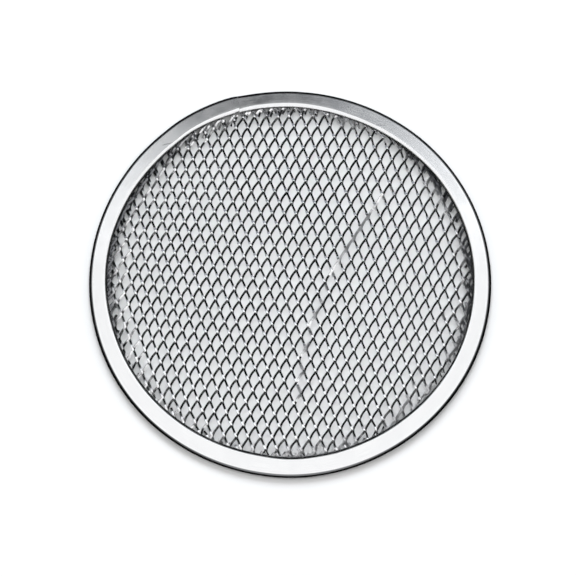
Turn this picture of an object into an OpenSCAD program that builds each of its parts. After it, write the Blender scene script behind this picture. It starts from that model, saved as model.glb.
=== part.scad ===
// Round pizza screen: a disc of slit and stretched aluminium, bound by a folded aluminium rim.
// The origin is at the middle of the underside, and +Z is up.

/* [Screen] */
// Outside diameter over the rim
screen_d = 228.6; // [180:1:330]
// Thickness of the strip that the rim is folded from
strip_t = 0.6; // [0.5:0.05:0.8]
// Play between the mesh and the rim, above and below
mesh_play = 0.1; // [0.05:0.05:0.3]

/* [Rim] */
// Width of the rim, from its outer edge to the end of its lip
rim_w = 10; // [9:0.5:14]
// Outside radius of the fold along the outer edge
fold_r = 1.7; // [1.5:0.1:1.9]
// Outside radius of the lip that curls down onto the mesh
lip_r = 3; // [2:0.1:3.5]
// How far the lip curls, from level down to its tip
lip_turn = 50; // [35:1:70]
// How much further in the lip reaches than the lower flange
lip_reach = 0.8; // [0.3:0.1:1.5]
// Slit between the two ends of the strip
seam_gap = 0.35; // [0.2:0.05:1]
// Bearing of the seam, counted from +X
seam_angle = 106; // [0:1:359]

/* [Mesh] */
// Short way of a diamond, from bond to bond
short_way = 6.75; // [6.5:0.05:9]
// Long way of a diamond, from bond to bond
long_way = 13.15; // [12:0.05:18]
// Width of a strand
strand_w = 1.15; // [0.9:0.05:1.4]
// Thickness of a strand
strand_t = 0.95; // [0.8:0.05:1.1]
// Width of a bond, where two strands hang together
bond_w = 1.9; // [1.7:0.1:2.2]
// Depth over which two strands share metal at a bond
bond_lap = 0.12; // [0.05:0.01:0.2]
// Turn of the long way, counted from +Y
mesh_turn = -4.5; // [-45:0.5:45]

/* [Hidden] */
$fn = 96;
screen_r = screen_d / 2;

// The strands lie like the slats of a blind: each one is tipped by this slope, so that its
// lower face meets the upper face of the next strand at the bonds.
slope = asin((strand_t - bond_lap) / (short_way / 2));
leg_y = long_way / 2;
swing = short_way / 2 * cos(slope) - (bond_w - strand_w);
strand_u = strand_w / cos(atan(swing / leg_y));
mesh_h = (swing + strand_u) * sin(slope) + strand_t * cos(slope);
mesh_z = strip_t + mesh_play + mesh_h / 2;
mesh_r = screen_r - fold_r - mesh_play;

// The strip's middle line has two bends, and its top flange is the straight that touches both.
fold_mid_r = fold_r - strip_t / 2;
lip_mid_r = lip_r - strip_t / 2;
fold_c = [screen_r - fold_r, fold_r];
lip_c = [screen_r - rim_w + lip_r * sin(lip_turn),
    mesh_z + mesh_h / 2 + mesh_play - (lip_r - strip_t) * cos(lip_turn)];
across = lip_c - fold_c;
flange_rise = atan2(across[1], -across[0]) - asin((fold_mid_r - lip_mid_r) / norm(across));
seam_turn = seam_gap / screen_r * 180 / PI;

function ray(a) = [cos(a), sin(a)];
function arc(c, r, from, to, steps) =
    [for (i = [0 : steps]) c + r * ray(from + (to - from) * i / steps)];

// One face of the strip: side is 1 for the outer face and -1 for the inner one.
function strip_face(side) = concat(
    [[screen_r - rim_w + lip_reach, (1 - side) * strip_t / 2]],
    arc(fold_c, fold_mid_r + side * strip_t / 2, -90, 90 - flange_rise, 16),
    arc(lip_c, lip_mid_r + side * strip_t / 2, 90 - flange_rise, 90 + lip_turn, 8));

module rim_section() {
    inner = strip_face(-1);
    polygon(concat(strip_face(1), [for (i = [len(inner) - 1 : -1 : 0]) inner[i]]));
}

module rim() {
    color("gainsboro")
        rotate([0, 0, seam_angle + seam_turn / 2])
            rotate_extrude(angle = 360 - seam_turn)
                rim_section();
}

// One strand: a flat zigzag bar that runs the long way, with its bends on the bonds.
module strand(column) {
    x = column * short_way / 2;
    reach = ceil((sqrt(max(0, mesh_r * mesh_r - x * x)) + strand_w) / leg_y);
    bend = function (i) [(((i + column) % 2 == 0) ? 0.5 : -0.5) * swing, i * leg_y];
    translate([x, 0, 0])
        rotate([0, -slope, 0])
            linear_extrude(strand_t, center = true)
                polygon(concat(
                    [for (i = [-reach : reach]) bend(i) + [strand_u / 2, 0]],
                    [for (i = [reach : -1 : -reach]) bend(i) - [strand_u / 2, 0]]));
}

module mesh_disc() {
    columns = floor(mesh_r / (short_way / 2));
    color("silver")
        translate([0, 0, mesh_z])
            intersection() {
                cylinder(h = 2 * mesh_h, r = mesh_r, center = true);
                rotate([0, 0, mesh_turn])
                    union() {
                        for (column = [-columns : columns]) strand(column);
                    }
            }
}

rim();
mesh_disc();
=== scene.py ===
import math

import bpy
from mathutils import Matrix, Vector


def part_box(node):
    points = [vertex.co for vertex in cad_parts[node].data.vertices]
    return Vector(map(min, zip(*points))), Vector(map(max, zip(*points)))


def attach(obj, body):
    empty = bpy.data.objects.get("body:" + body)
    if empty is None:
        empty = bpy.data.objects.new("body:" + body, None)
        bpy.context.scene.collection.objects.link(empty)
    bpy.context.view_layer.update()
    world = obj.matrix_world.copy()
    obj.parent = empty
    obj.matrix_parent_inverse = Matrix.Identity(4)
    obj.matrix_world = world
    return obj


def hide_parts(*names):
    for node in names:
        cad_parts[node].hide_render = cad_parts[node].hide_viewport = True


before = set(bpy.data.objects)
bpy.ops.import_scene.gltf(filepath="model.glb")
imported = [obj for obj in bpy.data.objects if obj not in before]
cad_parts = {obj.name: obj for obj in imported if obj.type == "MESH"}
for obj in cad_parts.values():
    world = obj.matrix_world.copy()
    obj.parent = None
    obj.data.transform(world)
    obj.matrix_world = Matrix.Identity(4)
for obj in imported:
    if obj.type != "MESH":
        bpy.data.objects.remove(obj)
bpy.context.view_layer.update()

# The camera looks down on the screen from the front, from far enough away that the ring stays
# almost a true ellipse. The aim lies just in front of the middle, as the photograph is framed.
view_elevation = math.radians(73.9)
view_distance = 1.2702
view_aim = Vector((-0.0011, -0.0049, 0.002))
camera = bpy.data.objects.new("camera", bpy.data.cameras.new("camera"))
camera.data.lens = 140
camera.data.clip_start = 0.01
camera.location = view_aim + view_distance * Vector(
    (0, -math.cos(view_elevation), math.sin(view_elevation)))
camera.rotation_euler = (math.pi / 2 - view_elevation, 0, 0)
bpy.context.scene.collection.objects.link(camera)
bpy.context.scene.camera = camera
bpy.context.scene.view_settings.view_transform = "Standard"


# The light table is a matt white sheet, wide enough to fill the picture from any side. It is
# whitest under the mesh, where light also spreads inside it, and greyest close round the ring,
# which is painted shade that deepens the ring's shadow.
def new_material(name):
    material = bpy.data.materials.new(name)
    material.use_nodes = True
    tree = material.node_tree
    return material, tree, tree.nodes["Principled BSDF"]


def make_matt(shader):
    shader.inputs["Roughness"].default_value = 1.0
    shader.inputs["Specular IOR Level"].default_value = 0.0


def add(tree, kind, **settings):
    node = tree.nodes.new(kind)
    for key, value in settings.items():
        setattr(node, key, value)
    return node


def plug(tree, socket, value):
    if isinstance(value, bpy.types.NodeSocket):
        tree.links.new(value, socket)
    else:
        socket.default_value = value


def maths(tree, operation, *values):
    node = add(tree, "ShaderNodeMath", operation=operation)
    for socket, value in zip(node.inputs, values):
        plug(tree, socket, value)
    return node.outputs[0]


def length_of(tree, place):
    node = add(tree, "ShaderNodeVectorMath", operation="LENGTH")
    plug(tree, node.inputs[0], place)
    return node.outputs["Value"]


def blend_between(tree, value, low, high, at_low, at_high, kind="SMOOTHSTEP"):
    node = add(tree, "ShaderNodeMapRange", interpolation_type=kind, clamp=True)
    for name, number in (("Value", value), ("From Min", low), ("From Max", high),
                         ("To Min", at_low), ("To Max", at_high)):
        plug(tree, node.inputs[name], number)
    return node.outputs["Result"]


def object_place(tree):
    return add(tree, "ShaderNodeTexCoord").outputs["Object"]


def lay_out(name, corners, faces, material):
    mesh = bpy.data.meshes.new(name)
    mesh.from_pydata(corners, [], faces)
    mesh.materials.append(material)
    flat = bpy.data.objects.new(name, mesh)
    bpy.context.scene.collection.objects.link(flat)
    return flat


table_reach = 6.0
table_depth = 0.00003
white_under_mesh = 0.925
painted_shade_white = 0.845
extra_white_far_out = 0.035
mesh_ends = (0.098, 0.108)
far_out = (0.125, 0.20)
white_sheet, tree, shader = new_material("white_sheet")
make_matt(shader)
from_middle = length_of(tree, object_place(tree))
under_mesh = blend_between(tree, from_middle, *mesh_ends, 1.0, 0.0, "LINEAR")
# Painted shade: the sheet is greyer from the ring outwards, where the ring's shadow falls
near_white = blend_between(
    tree, under_mesh, 0.0, 1.0, painted_shade_white, white_under_mesh, "LINEAR")
far_white = blend_between(tree, from_middle, *far_out, 0.0, extra_white_far_out, "LINEAR")
plug(tree, shader.inputs["Base Color"], maths(tree, "ADD", near_white, far_white))
shader.subsurface_method = "BURLEY"
plug(tree, shader.inputs["Subsurface Weight"], under_mesh)
shader.inputs["Subsurface Radius"].default_value = (1, 1, 1)
shader.inputs["Subsurface Scale"].default_value = 0.02
light_table = lay_out(
    "light_table", [(x * table_reach, y * table_reach, -table_depth)
                    for x, y in ((-1, -1), (1, -1), (1, 1), (-1, 1))],
    [(0, 1, 2, 3)], white_sheet)

# A black card lies under the ring and round it. Only shiny things see it, which gives the ring
# dark edges.
card_inner = 0.1105
card_outer = 0.6
card_sides = 96
black_sheet, tree, shader = new_material("black_sheet")
make_matt(shader)
shader.inputs["Base Color"].default_value = (0.01, 0.01, 0.01, 1)
card_turns = [2 * math.pi * i / card_sides for i in range(card_sides)]
black_card = lay_out(
    "black_card", [(r * math.cos(turn), r * math.sin(turn), -table_depth / 2)
                   for r in (card_inner, card_outer) for turn in card_turns],
    [(card_sides + i, card_sides + (i + 1) % card_sides, (i + 1) % card_sides, i)
     for i in range(card_sides)], black_sheet)
black_card.visible_camera = False
black_card.visible_diffuse = False
black_card.visible_shadow = False


# A long soft box hangs over the table, from just behind the screen to far in front of it. The two
# at the sides and the one behind only light matt things: they even out the white of the table, and
# the one behind gives it its shadows.
def soft_box(name, place, aim, width, length, watts, tint=(1, 1, 1)):
    lamp = bpy.data.lights.new(name, "AREA")
    lamp.color = tint
    lamp.shape = "RECTANGLE"
    lamp.size = width
    lamp.size_y = length
    lamp.energy = watts
    holder = bpy.data.objects.new(name, lamp)
    holder.location = place
    holder.rotation_euler = (Vector(aim) - Vector(place)).to_track_quat("-Z", "Y").to_euler()
    bpy.context.scene.collection.objects.link(holder)
    return holder


soft_box("top_box", (0, -0.9, 1.6), (0, -0.9, 0), 1.9, 3.6, 22.8)
matt_boxes = [soft_box("side_box_%d" % side, (side * 1.8, 0.2, 0.9), (0, 0, 0), 1.2, 0.9, 14)
              for side in (-1, 1)]
matt_boxes.append(soft_box(
    "back_box", (0, 1.8, 1.3), (0, 0, 0), 2.0, 1.0, 58, tint=(0.93, 0.965, 1)))
for box in matt_boxes:
    box.visible_glossy = False


# The room is almost black, but for two soft glows high up behind the screen, left and right of its
# middle, that the back of the ring mirrors.
def parts_of(tree, place):
    node = add(tree, "ShaderNodeSeparateXYZ")
    plug(tree, node.inputs[0], place)
    return node.outputs


dimmest = 0.012
room = bpy.data.worlds.new("room")
room.use_nodes = True
room.cycles_visibility.diffuse = False
bpy.context.scene.world = room
tree = room.node_tree
ray = parts_of(tree, add(tree, "ShaderNodeTexCoord").outputs["Generated"])
glow = 0.0
for low, high, at_low, at_high in ((-0.46, -0.36, -0.4, 0.0), (-0.30, -0.05, 0.48, 0.0),
                                   (-0.04, 0.20, 0.0, 0.56), (0.36, 0.46, 0.0, -0.4)):
    step = blend_between(tree, ray["X"], low, high, at_low, at_high, "LINEAR")
    glow = maths(tree, "ADD", step, glow)
for axis, low, high in (("Y", 0.28, 0.42), ("Z", 0.66, 0.78)):
    step = blend_between(tree, ray[axis], low, high, 0.0, 1.0, "LINEAR")
    glow = maths(tree, "MULTIPLY", glow, step)
background = tree.nodes["Background"]
background.inputs["Color"].default_value = (0.91, 0.95, 1, 1)
plug(tree, background.inputs["Strength"], maths(tree, "MAXIMUM", glow, dimmest))

# The mesh is one sheet of soft aluminium, slit and pulled open, so that every strand is a square
# bar that swings from bond to bond. Its cut edge is gripped in the fold of the rim, and it has
# the shallow waves and creases of a sheet that has been handled.
short_way = 0.00675
long_way = 0.01314
edge_in_fold = 0.0012
mesh_low, mesh_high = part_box("mesh_disc")
mesh_radius = (mesh_high.x - mesh_low.x) / 2 - edge_in_fold
mesh_middle = (mesh_high.z + mesh_low.z) / 2
strand_wide = 0.0014
strand_thick = 0.00104
strand_tip = math.radians(45)
bond_share = 0.16
steps_per_leg = 8


def vector(tree, x=0.0, y=0.0, z=0.0):
    node = add(tree, "ShaderNodeCombineXYZ")
    for socket, value in zip(node.inputs, (x, y, z)):
        plug(tree, socket, value)
    return node.outputs[0]


def vector_maths(tree, operation, first, second=None):
    node = add(tree, "ShaderNodeVectorMath", operation=operation)
    plug(tree, node.inputs[0], first)
    if second is not None:
        plug(tree, node.inputs["Scale" if operation == "SCALE" else 1], second)
    return node.outputs["Vector"]


def noise(tree, place, scale, detail=0.0, offset=0.0):
    """The noise at a place, as a number and as a colour."""
    node = add(tree, "ShaderNodeTexNoise", noise_dimensions="4D")
    plug(tree, node.inputs["Vector"], place)
    node.inputs["W"].default_value = offset
    plug(tree, node.inputs["Scale"], scale)
    node.inputs["Detail"].default_value = detail
    return node.outputs[0], node.outputs[1]


def new_tree(name, inputs, outputs):
    tree = bpy.data.node_groups.new(name, "GeometryNodeTree")
    for label, kind in inputs.items():
        tree.interface.new_socket(label, in_out="INPUT", socket_type="NodeSocket" + kind)
    for label, kind in outputs.items():
        tree.interface.new_socket(label, in_out="OUTPUT", socket_type="NodeSocket" + kind)
    return (tree, add(tree, "NodeGroupInput").outputs, add(tree, "NodeGroupOutput").inputs)


def position(tree):
    return add(tree, "GeometryNodeInputPosition").outputs[0]


def placed(tree, geometry, place):
    node = add(tree, "GeometryNodeSetPosition")
    plug(tree, node.inputs["Geometry"], geometry)
    plug(tree, node.inputs["Position"], place)
    return node.outputs["Geometry"]


def trimmed(tree, geometry, unwanted):
    node = add(tree, "GeometryNodeDeleteGeometry", domain="POINT")
    plug(tree, node.inputs["Geometry"], geometry)
    plug(tree, node.inputs["Selection"], unwanted)
    return node.outputs["Geometry"]


def stored(tree, geometry, name, value):
    node = add(tree, "GeometryNodeStoreNamedAttribute", data_type="FLOAT", domain="POINT")
    node.inputs["Name"].default_value = name
    plug(tree, node.inputs["Geometry"], geometry)
    plug(tree, node.inputs["Value"], value)
    return node.outputs["Geometry"]


def recalled(tree, name):
    node = add(tree, "GeometryNodeInputNamedAttribute", data_type="FLOAT")
    node.inputs["Name"].default_value = name
    return node.outputs["Attribute"]


def line_of_points(tree, count, **ends):
    """A straight curve with evenly spread points."""
    line = add(tree, "GeometryNodeCurvePrimitiveLine")
    for name, place in ends.items():
        plug(tree, line.inputs[name], place)
    node = add(tree, "GeometryNodeResampleCurve", mode="COUNT")
    plug(tree, node.inputs["Curve"], line.outputs["Curve"])
    plug(tree, node.inputs["Count"], count)
    return node.outputs["Curve"]


def level_path(tree, curve):
    node = add(tree, "GeometryNodeSetCurveNormal", mode="Z_UP")
    plug(tree, node.inputs["Curve"], curve)
    return node.outputs["Curve"]


def finish_tree(tree, geometry, material, result):
    real = add(tree, "GeometryNodeRealizeInstances")
    plug(tree, real.inputs["Geometry"], geometry)
    painted = add(tree, "GeometryNodeSetMaterial")
    plug(tree, painted.inputs["Geometry"], real.outputs["Geometry"])
    plug(tree, painted.inputs["Material"], material)
    plug(tree, result["Geometry"], painted.outputs["Geometry"])


def plain_mesh(holder):
    """The object's mesh with its modifiers applied."""
    depsgraph = bpy.context.evaluated_depsgraph_get()
    return bpy.data.meshes.new_from_object(holder.evaluated_get(depsgraph))


def grow(name, tree, sizes):
    """A plain mesh object made by the tree, with its named inputs set."""
    holder = bpy.data.objects.new(name, bpy.data.meshes.new(name + "_seed"))
    bpy.context.scene.collection.objects.link(holder)
    modifier = holder.modifiers.new(name, "NODES")
    modifier.node_group = tree
    for item in tree.interface.items_tree:
        if item.in_out == "INPUT":
            modifier[item.identifier] = sizes[item.name]
    mesh = plain_mesh(holder)
    holder.modifiers.remove(modifier)
    holder.data = mesh
    mesh.name = name
    return holder


# How the sheet lies at a place: its height in the broad waves and in the crumpled border along the
# rim, how far it was pulled aside, and where its strands were pressed flat by a crease or the rim
border_from = 0.021
border_to = 0.011
broad_scale, broad_height = 14.0, 0.0014
crumple_scale, crumple_height = 150.0, 0.0008
pull_scale, pull_inside, pull_in_border = 120.0, 0.0008, 0.0016
patch_scale, patch_range = 55.0, (0.40, 0.56)
pressed_left, pressed_right = 0.3, 0.8
crease_height = 0.0003
tree, given, result = new_tree(
    "sheet_waves", {"Place": "Vector", "Radius": "Float"},
    {"Height": "Float", "Aside": "Vector", "Pressed": "Float"})
spot = parts_of(tree, given["Place"])
border = blend_between(tree, length_of(tree, given["Place"]),
                       maths(tree, "SUBTRACT", given["Radius"], border_from),
                       maths(tree, "SUBTRACT", given["Radius"], border_to), 0.0, 1.0)


def crease(tree, spot, start, lean, bend, near, far, low, high, fade_in=0.012, fade_out=0.008):
    """A crease along x = start + lean * y + bend * y * y, fading out past two heights."""
    line = maths(tree, "MULTIPLY_ADD", maths(tree, "MULTIPLY_ADD", spot["Y"], bend, lean),
                 spot["Y"], start)
    off = maths(tree, "ABSOLUTE", maths(tree, "SUBTRACT", spot["X"], line))
    band = blend_between(tree, off, near, far, 1.0, 0.0)
    ends = maths(tree, "MULTIPLY",
                 blend_between(tree, spot["Y"], low - fade_in, low, 0.0, 1.0),
                 blend_between(tree, spot["Y"], high, high + fade_out, 1.0, 0.0))
    return maths(tree, "MULTIPLY", band, ends)


def swell(tree, place, scale, height, detail=0.0):
    centred = maths(tree, "SUBTRACT", noise(tree, place, scale, detail)[0], 0.5)
    return maths(tree, "MULTIPLY", centred, height)


long_crease = crease(tree, spot, start=0.0229, lean=0.473, bend=3.1, near=0.0003, far=0.0019,
                     low=-0.066, high=0.064)
short_crease = crease(tree, spot, start=0.0963, lean=0.444, bend=0.0, near=0.0003, far=0.0022,
                      low=-0.075, high=-0.008)
broad = swell(tree, given["Place"], broad_scale, broad_height)
crumples = swell(tree, given["Place"], crumple_scale, crumple_height, detail=1.0)
height = maths(tree, "ADD", maths(tree, "MULTIPLY", broad, maths(tree, "SUBTRACT", 1.0, border)),
               maths(tree, "MULTIPLY", crumples, border))
plug(tree, result["Height"], maths(tree, "MULTIPLY_ADD", long_crease, crease_height, height))
pull = vector_maths(tree, "SUBTRACT", noise(tree, given["Place"], pull_scale, 1.0, 3.0)[1],
                    (0.5, 0.5, 0.5))
plug(tree, result["Aside"], vector_maths(
    tree, "SCALE", pull, maths(tree, "MULTIPLY_ADD", border, pull_in_border, pull_inside)))
patchy = blend_between(tree, noise(tree, given["Place"], patch_scale, 1.0, 7.0)[0],
                       *patch_range, 0.0, 1.0)
at_border = maths(tree, "MULTIPLY", maths(tree, "MULTIPLY", border, patchy),
                  blend_between(tree, spot["X"], -0.07, 0.05, pressed_left, pressed_right))
creased = maths(tree, "MULTIPLY_ADD", short_crease, patchy, long_crease)
plug(tree, result["Pressed"], maths(tree, "MAXIMUM", at_border, creased))
sheet_waves = tree


def mixed(tree, share, low, high):
    """A colour between two, each one a socket or a plain colour."""
    node = add(tree, "ShaderNodeMix", data_type="RGBA")
    plug(tree, node.inputs["Factor"], share)
    for name, colour in (("A", low), ("B", high)):
        socket = next(item for item in node.inputs if item.name == name and item.type == "RGBA")
        plug(tree, socket, colour)
    return next(item for item in node.outputs if item.type == "RGBA")


# The strands are bright where they are smooth, duller where they were pressed, creased or drawn
# out at their ends, and darkened with painted shadow of the lip along the left and right of the rim
bare_metals = {
    "clean": ((0.93, 0.932, 0.94, 1), (0.97, 0.972, 0.977, 1)),
    "dull": ((0.42, 0.425, 0.44, 1), (0.60, 0.605, 0.62, 1))}
mottle_scale, mottle_range = 700.0, (0.35, 0.65)
painted_lip_shadow_colour = (0.16, 0.165, 0.175, 1)
lip_shadow_out, lip_shadow_aside, lip_shadow_up = (0.0975, 0.1025), (0.045, 0.075), (-0.065, -0.02)
drawn_end_dullness = 0.4
smooth_roughness, mottle_roughness, pressed_roughness = 0.10, 0.06, 0.25
bare_mesh, tree, shader = new_material("bare_mesh")
place = object_place(tree)
spot = parts_of(tree, place)
pressed = add(tree, "ShaderNodeAttribute", attribute_name="pressed").outputs["Fac"]
drawn_end = add(tree, "ShaderNodeAttribute", attribute_name="drawn_end").outputs["Fac"]
mottle = blend_between(tree, noise(tree, place, mottle_scale, 2.0)[0], *mottle_range, 0.0, 1.0)
# Painted shadow of the lip: strands close to the rim at the left and right, away from the front,
# are coloured darker
along_rim = blend_between(tree, length_of(tree, place), *lip_shadow_out, 0.0, 1.0)
at_sides = blend_between(tree, maths(tree, "ABSOLUTE", spot["X"]), *lip_shadow_aside, 0.0, 1.0)
not_front = blend_between(tree, spot["Y"], *lip_shadow_up, 0.0, 1.0)
painted_lip_shadow = maths(tree, "MULTIPLY", maths(tree, "MULTIPLY", along_rim, at_sides), not_front)
clean, dull = (mixed(tree, mottle, *bare_metals[name]) for name in ("clean", "dull"))
dullness = maths(tree, "MAXIMUM", pressed, maths(tree, "MULTIPLY", drawn_end, drawn_end_dullness))
plug(tree, shader.inputs["Base Color"], mixed(
    tree, painted_lip_shadow, mixed(tree, dullness, clean, dull), painted_lip_shadow_colour))
plug(tree, shader.inputs["Roughness"], maths(
    tree, "MULTIPLY_ADD", pressed, pressed_roughness,
    maths(tree, "MULTIPLY_ADD", mottle, mottle_roughness, smooth_roughness)))
shader.inputs["Metallic"].default_value = 1.0


def emboss(tree, shader, height, strength, distance):
    bump = add(tree, "ShaderNodeBump")
    bump.inputs["Strength"].default_value = strength
    bump.inputs["Distance"].default_value = distance
    plug(tree, bump.inputs["Height"], height)
    plug(tree, shader.inputs["Normal"], bump.outputs["Normal"])


emboss(tree, shader, mottle, 0.15, 0.00002)

sizes = {
    "Short way": short_way, "Long way": long_way, "Radius": mesh_radius, "Middle": mesh_middle,
    "Short way turn": math.radians(-2.63), "Long way turn": math.radians(-6.1),
    "Widening": 0.39, "Fanning": 0.075, "Shift x": -0.0021, "Shift y": -0.00064,
    "Strand width": strand_wide, "Strand thickness": strand_thick, "Edge radius": 0.0001,
    "Tip": strand_tip, "Bond share": bond_share, "Bond overlap": 0.4, "Steps": float(steps_per_leg),
    "Flatness": 0.95, "Flatness at rim": 0.5, "Flat from": 0.0100, "Flat to": 0.0065,
    "Lean": 0.30, "Press": 0.10, "End twist": 0.42, "End start": -0.03, "End stop": 0.40,
    "End fade": 0.12, "Roundness": 0.6, "Leg roundness": 0.65, "Leg difference": -0.35,
    "Lift": 0.5, "Margin": 1.12, "Slope step": 0.0005, "Hem radius": 0.1045, "Hem width": 0.009,
    "Hem raggedness": 60.0, "Hem turn": math.radians(3.0), "Hem drop": -0.0004, "Lowest": 0.0001}
kinds = {name: "Float" for name in sizes}
sizes["Material"] = bare_mesh
tree, given, result = new_tree(
    "stretched_sheet", {**kinds, "Material": "Material"}, {"Geometry": "Geometry"})
half_way = maths(tree, "MULTIPLY", given["Short way"], 0.5)
leg = maths(tree, "MULTIPLY", given["Long way"], 0.5)
reach = maths(tree, "MULTIPLY", given["Radius"], given["Margin"])
side_count = maths(tree, "FLOOR", maths(tree, "DIVIDE", reach, half_way))
leg_count = maths(tree, "CEIL", maths(tree, "DIVIDE", reach, leg))
seeds = add(tree, "GeometryNodeMeshLine")
plug(tree, seeds.inputs["Count"], maths(tree, "MULTIPLY_ADD", side_count, 2.0, 1.0))
point_index = add(tree, "GeometryNodeInputIndex").outputs[0]
numbered = stored(tree, seeds.outputs["Mesh"], "column",
                  maths(tree, "SUBTRACT", point_index, side_count))
gathered = placed(tree, numbered, vector(tree))

# One straight line for each strand, longer than the disc, with the same points on every leg
half_length = maths(tree, "MULTIPLY", leg_count, leg)
steps = maths(tree, "MULTIPLY", maths(tree, "MULTIPLY", leg_count, 2.0), given["Steps"])
straight = line_of_points(
    tree, maths(tree, "ADD", steps, 1.0),
    Start=vector(tree, y=maths(tree, "MULTIPLY", half_length, -1.0)),
    End=vector(tree, y=half_length))
strands = add(tree, "GeometryNodeInstanceOnPoints")
plug(tree, strands.inputs["Points"], gathered)
plug(tree, strands.inputs["Instance"], straight)
lines = add(tree, "GeometryNodeRealizeInstances")
plug(tree, lines.inputs["Geometry"], strands.outputs["Instances"])
measured = stored(tree, lines.outputs["Geometry"], "along", parts_of(tree, position(tree))["Y"])

# Every strand swings from one bond to the next. One of its two legs is rounder than the other, and
# it hangs on its neighbour for a short way at each bond
column = recalled(tree, "column")
along = recalled(tree, "along")
phase = maths(tree, "ADD", maths(tree, "DIVIDE", along, leg), column)
zigzag = maths(tree, "PINGPONG", phase, 1.0)
half_share = maths(tree, "MULTIPLY", given["Bond share"], 0.5)
rounded = maths(tree, "SUBTRACT", 0.5, maths(
    tree, "MULTIPLY", zigzag, maths(tree, "SUBTRACT", 2.0, zigzag)))
direct = blend_between(tree, zigzag, half_share, maths(tree, "SUBTRACT", 1.0, half_share),
                       0.5, -0.5, "LINEAR")
which_leg = maths(tree, "SINE", maths(tree, "MULTIPLY", phase, math.pi))
roundness = maths(tree, "MULTIPLY", given["Roundness"],
                  maths(tree, "MULTIPLY_ADD", which_leg, given["Leg difference"],
                        given["Leg roundness"]))
swing = maths(tree, "ADD", maths(tree, "MULTIPLY", rounded, roundness), maths(
    tree, "MULTIPLY", direct, maths(tree, "SUBTRACT", 1.0, roundness)))
bond_x = maths(tree, "MULTIPLY", given["Bond overlap"], maths(
    tree, "MULTIPLY", given["Strand width"], maths(tree, "COSINE", given["Tip"])))
bond_z = maths(tree, "MULTIPLY", given["Strand width"], maths(tree, "SINE", given["Tip"]))
across = maths(tree, "MULTIPLY_ADD", column, half_way,
               maths(tree, "MULTIPLY", swing, maths(tree, "SUBTRACT", half_way, bond_x)))

# The sheet was pulled a little wider towards one side, and its two ways are not quite square
across = maths(tree, "ADD", across, given["Shift x"])
along = maths(tree, "ADD", along, given["Shift y"])
wider = maths(tree, "MULTIPLY_ADD", maths(tree, "MULTIPLY", across, across),
              maths(tree, "MULTIPLY", given["Widening"], 0.5), across)
wider = maths(tree, "MULTIPLY_ADD", maths(tree, "MULTIPLY", across, along), given["Fanning"], wider)
short_turn = given["Short way turn"]
long_turn = given["Long way turn"]
place_x = maths(tree, "SUBTRACT", maths(tree, "MULTIPLY", wider, maths(tree, "COSINE", short_turn)),
                maths(tree, "MULTIPLY", along, maths(tree, "SINE", long_turn)))
place_y = maths(tree, "ADD", maths(tree, "MULTIPLY", wider, maths(tree, "SINE", short_turn)),
                maths(tree, "MULTIPLY", along, maths(tree, "COSINE", long_turn)))


def drawn(tree, x, y, terms):
    """A smooth drift over the sheet: the sum of factor * x**i * y**j."""
    total = None
    for i, j, factor in terms:
        part = factor
        for value, times in ((x, i), (y, j)):
            for _ in range(times):
                part = maths(tree, "MULTIPLY", value, part)
        total = maths(tree, "ADD", total, part) if total else part
    return total


drift_x = drawn(tree, place_x, place_y, (
    (1, 0, 0.0035), (0, 1, -0.0038), (0, 2, 0.039), (3, 0, -1.56), (2, 1, 2.77)))
drift_y = drawn(tree, place_x, place_y, (
    (1, 0, 0.0026), (0, 1, 0.0035), (1, 1, 0.308), (2, 0, -0.021), (0, 2, 0.058), (3, 0, -2.0),
    (2, 1, -0.74), (1, 2, 4.1)))
place_x = maths(tree, "ADD", place_x, drift_x)
place_y = maths(tree, "ADD", place_y, drift_y)


def waves_at(tree, x, y, radius):
    waves = add(tree, "GeometryNodeGroup", node_tree=sheet_waves)
    plug(tree, waves.inputs["Place"], vector(tree, x, y))
    plug(tree, waves.inputs["Radius"], radius)
    return waves.outputs


# A strand follows the waves, leans over where it was pressed, and twists flat at its lower end
waves = waves_at(tree, place_x, place_y, given["Radius"])
beside = waves_at(tree, maths(tree, "ADD", place_x, given["Slope step"]), place_y, given["Radius"])
slope = maths(tree, "ARCTANGENT", maths(
    tree, "DIVIDE", maths(tree, "SUBTRACT", waves["Height"], beside["Height"]),
    given["Slope step"]))
lean = maths(tree, "MULTIPLY_ADD", waves["Pressed"], given["Press"], given["Lean"])
bonds_apart = 2.0
before_bond = -0.75
past_bond = maths(tree, "WRAP", phase, before_bond + bonds_apart, before_bond)
end_start, end_stop, end_fade = given["End start"], given["End stop"], given["End fade"]
drawn_end = maths(
    tree, "MULTIPLY",
    blend_between(tree, past_bond, end_start, maths(tree, "ADD", end_start, end_fade), 0.0, 1.0),
    blend_between(tree, past_bond, maths(tree, "SUBTRACT", end_stop, end_fade), end_stop,
                  1.0, 0.0))
lean = maths(tree, "MULTIPLY_ADD", drawn_end, given["End twist"], lean)
roll = maths(tree, "SUBTRACT", slope, lean)
height = maths(tree, "MULTIPLY_ADD", swing, maths(tree, "MULTIPLY", bond_z, given["Lift"]),
               maths(tree, "ADD", waves["Height"], given["Middle"]))
marked = stored(tree, measured, "drawn_end", drawn_end)
marked = stored(tree, marked, "pressed", waves["Pressed"])
pulled = parts_of(tree, waves["Aside"])
swung = placed(tree, marked, vector(
    tree, maths(tree, "ADD", place_x, pulled["X"]), maths(tree, "ADD", place_y, pulled["Y"]),
    height))
from_middle = length_of(tree, vector_maths(tree, "MULTIPLY", position(tree), (1, 1, 0)))
sheet = trimmed(tree, swung, maths(tree, "GREATER_THAN", from_middle, given["Radius"]))

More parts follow.
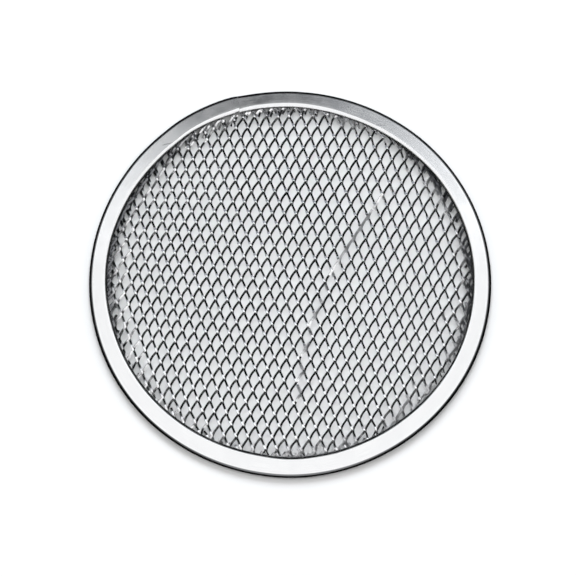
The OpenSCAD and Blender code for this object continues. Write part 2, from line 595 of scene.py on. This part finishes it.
# The sheet's edge is turned under itself along the rim, so a second row of strands shows there
whole = add(tree, "GeometryNodeCurveToMesh")
plug(tree, whole.inputs["Curve"], sheet)
ragged = maths(tree, "MULTIPLY", given["Hem width"],
               noise(tree, position(tree), given["Hem raggedness"], 2.0, 5.0)[0])
off_hem = maths(
    tree, "MAXIMUM",
    maths(tree, "LESS_THAN", from_middle, maths(tree, "SUBTRACT", given["Hem radius"], ragged)),
    maths(tree, "GREATER_THAN", from_middle, given["Hem radius"]))
hem_lines = add(tree, "GeometryNodeMeshToCurve")
plug(tree, hem_lines.inputs["Mesh"], trimmed(tree, whole.outputs["Mesh"], off_hem))
turned = add(tree, "GeometryNodeTransform")
plug(tree, turned.inputs["Geometry"], hem_lines.outputs["Curve"])
plug(tree, turned.inputs["Rotation"], vector(tree, z=given["Hem turn"]))
plug(tree, turned.inputs["Translation"], vector(tree, z=given["Hem drop"]))
both = add(tree, "GeometryNodeJoinGeometry")
plug(tree, both.inputs["Geometry"], turned.outputs["Geometry"])
plug(tree, both.inputs["Geometry"], sheet)
rolled = add(tree, "GeometryNodeSetCurveTilt")
plug(tree, rolled.inputs["Curve"], level_path(tree, both.outputs["Geometry"]))
plug(tree, rolled.inputs["Tilt"], roll)

# The strand's section: a bar tipped over, with the two edges on top just broken
bar = add(tree, "GeometryNodeCurvePrimitiveQuadrilateral")
plug(tree, bar.inputs["Width"], given["Strand width"])
plug(tree, bar.inputs["Height"], given["Strand thickness"])
upper_corners = maths(tree, "GREATER_THAN", add(tree, "GeometryNodeInputIndex").outputs[0], 1.5)
eased = add(tree, "GeometryNodeFilletCurve", mode="POLY")
plug(tree, eased.inputs["Curve"], bar.outputs["Curve"])
eased.inputs["Count"].default_value = 1
plug(tree, eased.inputs["Radius"], maths(tree, "MULTIPLY", upper_corners, given["Edge radius"]))
tipped = add(tree, "GeometryNodeTransform")
plug(tree, tipped.inputs["Geometry"], eased.outputs["Curve"])
plug(tree, tipped.inputs["Rotation"], vector(tree, z=given["Tip"]))
bars = add(tree, "GeometryNodeCurveToMesh")
bars.inputs["Fill Caps"].default_value = True
plug(tree, bars.inputs["Curve"], rolled.outputs["Curve"])
plug(tree, bars.inputs["Profile Curve"], tipped.outputs["Geometry"])

# The sheet was rolled lightly after it was pulled open, and harder along the rim
sharp_from = 0.5
there = parts_of(tree, position(tree))
flatness = blend_between(
    tree, from_middle, maths(tree, "SUBTRACT", given["Radius"], given["Flat from"]),
    maths(tree, "SUBTRACT", given["Radius"], given["Flat to"]),
    given["Flatness"], given["Flatness at rim"])
rolled_flat = maths(tree, "MULTIPLY_ADD", maths(tree, "SUBTRACT", there["Z"], given["Middle"]),
                    flatness, given["Middle"])
flattened = placed(tree, bars.outputs["Mesh"], vector(
    tree, there["X"], there["Y"], maths(tree, "MAXIMUM", given["Lowest"], rolled_flat)))
crisp = add(tree, "GeometryNodeSetShadeSmooth", domain="EDGE")
crisp.inputs["Shade Smooth"].default_value = False
plug(tree, crisp.inputs["Geometry"], flattened)
plug(tree, crisp.inputs["Selection"], maths(
    tree, "GREATER_THAN", add(tree, "GeometryNodeInputMeshEdgeAngle").outputs[0], sharp_from))
finish_tree(tree, crisp.outputs["Geometry"], given["Material"], result)

stretched_mesh = grow("stretched_mesh", tree, sizes)
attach(stretched_mesh, "root")
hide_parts("mesh_disc")

# The rim is one strip of soft aluminium, folded over the edge of the mesh and closed flat, with
# its upper edge curled down onto the strands. Its two ends meet at a seam at the back left, where
# one end stands out a little. The strip is out of round, as it was closed by hand.
rim_low, rim_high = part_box("rim")
rim_radius = (rim_high.x - rim_low.x) / 2
rim_wide = 0.011
strip_thick = 0.0006
fold_radius = 0.0017
lip_radius = 0.0030
lip_turn = math.radians(50)
lower_length = 0.0075
out_of_round = 0.00024
seam_bearing = math.radians(105.5)
seam_slit = 0.00015
under_top = 0.000001
sharp_angle = math.radians(40)

# The flange rises from the fold to the lip, along the straight that touches both bends
fold_bend = fold_radius - strip_thick / 2
lip_bend = lip_radius - strip_thick / 2
lip_in = rim_radius - rim_wide + lip_radius * math.sin(lip_turn)
lip_up = rim_high.z - lip_radius - under_top
reach_in = rim_radius - fold_radius - lip_in
reach_up = lip_up - fold_radius
span = math.hypot(reach_in, reach_up)
flange_rise = math.atan2(reach_up, reach_in) - math.asin((fold_bend - lip_bend) / span)
flange_length = math.sqrt(span * span - (fold_bend - lip_bend) ** 2)
flange_start = lower_length + fold_bend * (math.pi - flange_rise)
lip_start = flange_start + flange_length
ring_length = 2 * math.pi * (rim_radius - fold_radius)

# The strip is bright, with fine rolling streaks along it and cloudy wear. Its outer fold is painted
# dark, a little wider at the back, as painted shade. At the back a crease runs along the start of
# the lip, and each of its ends flicks out over the flange: a bump with a painted shaded line along
# it.
worn_colours = ((0.87, 0.875, 0.885, 1), (0.93, 0.935, 0.94, 1))
streak_colour = (0.83, 0.835, 0.845, 1)
painted_shade_colour = (0.14, 0.143, 0.15, 1)
streaks_along, streaks_across = 45.0, 2600.0
streak_range = (0.3, 0.7)
cloud_scale, cloud_range = 90.0, (0.35, 0.65)
crease_ends = (0.068, 0.879)
crease_near, crease_far = 0.0001, 0.0004
crease_fade = 0.002
flick_length = 0.0065
flick_slope = 0.5
flick_starts = (-0.0005, 0.0002)
edge_starts, edge_stops, edge_growth = -0.0001, 0.00025, 0.0003
edge_grows = (-0.08, 0.0)
bare_strip, tree, shader = new_material("bare_strip")
across_strip = add(tree, "ShaderNodeAttribute", attribute_name="across_strip").outputs["Fac"]
round_ring = add(tree, "ShaderNodeAttribute", attribute_name="round_ring").outputs["Fac"]
streak_place = vector(tree, maths(tree, "MULTIPLY", round_ring, streaks_along),
                      maths(tree, "MULTIPLY", across_strip, streaks_across))
streaks = blend_between(tree, noise(tree, streak_place, 1.0, 3.0)[0], *streak_range, 0.0, 1.0)
clouds = blend_between(tree, noise(tree, object_place(tree), cloud_scale, 3.0)[0],
                       *cloud_range, 0.0, 1.0)


def thin_line(tree, off):
    return blend_between(tree, maths(tree, "ABSOLUTE", off), crease_near, crease_far, 1.0, 0.0)


# Painted shade: a thin dark line along the crease at the back and its two flicks; the same mask
# also gives the crease its bump
out_from_lip = maths(tree, "SUBTRACT", lip_start, across_strip)
past_ends = [
    maths(tree, "MULTIPLY", maths(tree, "SUBTRACT", round_ring, crease_ends[0]), ring_length),
    maths(tree, "MULTIPLY", maths(tree, "SUBTRACT", crease_ends[1], round_ring), ring_length)]
at_back = maths(tree, "MAXIMUM", *(blend_between(tree, past, -crease_fade, 0.0, 1.0, 0.0)
                                   for past in past_ends))
crease_bump_and_shade = maths(tree, "MULTIPLY", maths(tree, "MULTIPLY", thin_line(tree, out_from_lip), at_back), 0.5)
for past in past_ends:
    flick = thin_line(tree, maths(
        tree, "SUBTRACT", out_from_lip, maths(tree, "MULTIPLY", past, flick_slope)))
    in_reach = maths(tree, "MULTIPLY", blend_between(tree, past, *flick_starts, 0.0, 1.0),
                     blend_between(tree, past, flick_length / 2, flick_length, 1.0, 0.0))
    crease_bump_and_shade = maths(tree, "MAXIMUM", crease_bump_and_shade, maths(tree, "MULTIPLY", flick, in_reach))
# Painted shade: the whole outer fold is coloured dark, reaching a little onto the flange at the
# back
dark_edge_width = blend_between(
    tree, parts_of(tree, object_place(tree))["Y"], *edge_grows, 0.0, edge_growth)
painted_dark_edge = blend_between(tree, maths(tree, "SUBTRACT", across_strip, dark_edge_width),
                        flange_start + edge_starts, flange_start + edge_stops, 1.0, 0.0)
worn = mixed(tree, clouds, *worn_colours)
streaked = mixed(tree, maths(tree, "MULTIPLY", streaks, 0.5), worn, streak_colour)
# The painted shade of the fold and of the crease line darkens the strip's colour
painted_shade = maths(tree, "MAXIMUM", maths(tree, "MULTIPLY", crease_bump_and_shade, 0.6),
                 maths(tree, "MULTIPLY", painted_dark_edge, 0.9))
plug(tree, shader.inputs["Base Color"], mixed(tree, painted_shade, streaked, painted_shade_colour))
plug(tree, shader.inputs["Roughness"], maths(tree, "MULTIPLY_ADD", clouds, 0.06, 0.19))
shader.inputs["Metallic"].default_value = 1.0
emboss(tree, shader, maths(tree, "SUBTRACT", streaks, maths(tree, "MULTIPLY", crease_bump_and_shade, 2.0)),
       0.25, 0.00003)

rim_sizes = {
    "Ring radius": rim_radius - out_of_round, "Lower flange": lower_length, "Fold bend": fold_bend,
    "Fold turn": math.pi - flange_rise, "Upper flange": flange_length, "Lip bend": lip_bend,
    "Lip turn": flange_rise + lip_turn, "Strip thickness": strip_thick,
    "Seam bearing": seam_bearing, "Seam slit": seam_slit, "Section points": 72.0,
    "Ring points": 480.0, "Unevenness": 0.002}
kinds = {name: "Float" for name in rim_sizes}
rim_sizes["Material"] = bare_strip
tree, given, result = new_tree(
    "folded_strip", {**kinds, "Material": "Material"}, {"Geometry": "Geometry"})

# The strip's middle line: lower flange, fold, upper flange and lip, by the length along it
fold_length = maths(tree, "MULTIPLY", given["Fold bend"], given["Fold turn"])
lip_length = maths(tree, "MULTIPLY", given["Lip bend"], given["Lip turn"])
marks = [given["Lower flange"]]
for part in (fold_length, given["Upper flange"], lip_length):
    marks.append(maths(tree, "ADD", marks[-1], part))
section_share = add(tree, "GeometryNodeSplineParameter").outputs["Factor"]
along_section = maths(tree, "MULTIPLY", section_share, marks[-1])


def stretch_of(tree, length, start, whole):
    after = maths(tree, "MAXIMUM", maths(tree, "SUBTRACT", length, start), 0.0)
    return maths(tree, "MINIMUM", after, whole)


on_lower = stretch_of(tree, along_section, 0.0, given["Lower flange"])
on_fold = maths(tree, "DIVIDE", stretch_of(tree, along_section, marks[0], fold_length),
                given["Fold bend"])
on_upper = stretch_of(tree, along_section, marks[1], given["Upper flange"])
on_lip = maths(tree, "DIVIDE", stretch_of(tree, along_section, marks[2], lip_length),
               given["Lip bend"])
heading = maths(tree, "ADD", on_fold, on_lip)
out = maths(tree, "ADD", on_lower, maths(
    tree, "MULTIPLY", given["Fold bend"], maths(tree, "SINE", on_fold)))
out = maths(tree, "ADD", out, maths(
    tree, "MULTIPLY", on_upper, maths(tree, "COSINE", given["Fold turn"])))
out = maths(tree, "ADD", out, maths(tree, "MULTIPLY", given["Lip bend"], maths(
    tree, "SUBTRACT", maths(tree, "SINE", heading), maths(tree, "SINE", on_fold))))
up = maths(tree, "MULTIPLY", given["Fold bend"], maths(
    tree, "SUBTRACT", 1.0, maths(tree, "COSINE", on_fold)))
up = maths(tree, "ADD", up, maths(
    tree, "MULTIPLY", on_upper, maths(tree, "SINE", given["Fold turn"])))
up = maths(tree, "ADD", up, maths(tree, "MULTIPLY", given["Lip bend"], maths(
    tree, "SUBTRACT", maths(tree, "COSINE", on_fold), maths(tree, "COSINE", heading))))
fold_middle = maths(tree, "SUBTRACT", given["Ring radius"], maths(
    tree, "ADD", given["Fold bend"], maths(tree, "MULTIPLY", given["Strip thickness"], 0.5)))
out = maths(tree, "SUBTRACT", out, given["Lower flange"])
up = maths(tree, "MULTIPLY_ADD", given["Strip thickness"], 0.5, up)
section = placed(tree, line_of_points(tree, given["Section points"]),
                 vector(tree, out, maths(tree, "MULTIPLY", up, -1.0)))
section = stored(tree, section, "across_strip", along_section)

# The path runs once round the fold's middle, from one end of the strip to the other
slit_turn = maths(tree, "DIVIDE", given["Seam slit"], given["Ring radius"])
ring_share = add(tree, "GeometryNodeSplineParameter").outputs["Factor"]
bearing = maths(tree, "ADD", given["Seam bearing"], maths(
    tree, "MULTIPLY_ADD", ring_share, maths(tree, "SUBTRACT", 2 * math.pi, slit_turn),
    maths(tree, "MULTIPLY", slit_turn, 0.5)))
bent_most = 2.0


def bent_by(tree, turn, shape, unevenness):
    """How far out the strip is bent, for a list of degrees past the seam and millimetres."""
    node = add(tree, "ShaderNodeFloatCurve")
    curve = node.mapping.curves[0]
    spots = [(degrees / 360, 0.5 + out / (2 * bent_most)) for degrees, out in shape]
    curve.points[0].location = spots[0]
    curve.points[-1].location = spots[-1]
    for spot in spots[1:-1]:
        curve.points.new(*spot)
    node.mapping.update()
    plug(tree, node.inputs["Value"], turn)
    return maths(tree, "MULTIPLY", maths(tree, "SUBTRACT", node.outputs[0], 0.5),
                 maths(tree, "MULTIPLY", unevenness, 2.0))


ring_r = maths(tree, "ADD", fold_middle, bent_by(tree, ring_share, (
    (0, 1.2), (4.5, 1.62), (14.5, 1.53), (24.5, 0.85), (34.5, 0.52), (44.5, 0.18), (59.5, -0.02),
    (74.5, -0.04), (94.5, -0.03), (109.5, 0.12), (134.5, -0.02), (154.5, 0.0), (164.5, 0.18),
    (174.5, 0.1), (194.5, -0.17), (214.5, -0.12), (234.5, 0.15), (249.5, 0.19), (264.5, 0.19),
    (284.5, 0.12), (304.5, -0.07), (319.5, -0.28), (334.5, -0.2), (344.5, 0.03), (354.5, 0.45),
    (360, 1.15)), given["Unevenness"]))
ring = placed(tree, line_of_points(tree, given["Ring points"]), vector(
    tree, maths(tree, "MULTIPLY", maths(tree, "COSINE", bearing), ring_r),
    maths(tree, "MULTIPLY", maths(tree, "SINE", bearing), ring_r)))
ring = stored(tree, ring, "round_ring", ring_share)
sweep = add(tree, "GeometryNodeCurveToMesh")
plug(tree, sweep.inputs["Curve"], level_path(tree, ring))
plug(tree, sweep.inputs["Profile Curve"], section)

# The upper flange is uneven, so the lip wanders in and out
lip_out = bent_by(tree, recalled(tree, "round_ring"), (
    (0, 0.7), (4.5, 0.05), (14.5, 0.1), (24.5, -0.16), (34.5, -0.12), (44.5, 0.26), (54.5, 0.45),
    (64.5, 0.7), (74.5, 0.57), (94.5, -0.1), (114.5, -0.5), (134.5, -0.72), (154.5, -0.9),
    (164.5, -0.55), (174.5, -0.75), (194.5, -0.82), (214.5, -0.45), (224.5, -0.2),
    (244.5, 0.0), (254.5, 0.19), (264.5, 0.4), (284.5, 0.46), (294.5, 0.2), (304.5, -0.15),
    (314.5, -0.2), (334.5, 0.5), (344.5, 0.85), (354.5, 0.85), (360, -0.1)), given["Unevenness"])
moved = blend_between(tree, recalled(tree, "across_strip"), marks[1], marks[2], 0.0, 1.0)
outward = vector_maths(
    tree, "NORMALIZE", vector_maths(tree, "MULTIPLY", position(tree), (1, 1, 0)))
uneven = add(tree, "GeometryNodeSetPosition")
plug(tree, uneven.inputs["Geometry"], sweep.outputs["Mesh"])
plug(tree, uneven.inputs["Offset"], vector_maths(
    tree, "SCALE", outward, maths(tree, "MULTIPLY", lip_out, moved)))
finish_tree(tree, uneven.outputs["Geometry"], given["Material"], result)

folded_rim = grow("folded_rim", tree, rim_sizes)
wall = folded_rim.modifiers.new("wall", "SOLIDIFY")
wall.thickness = strip_thick
wall.offset = 0
wall.use_even_offset = True
walled = plain_mesh(folded_rim)
folded_rim.modifiers.remove(wall)
folded_rim.data = walled
walled.set_sharp_from_angle(angle=sharp_angle)
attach(folded_rim, "root")
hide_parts("rim")
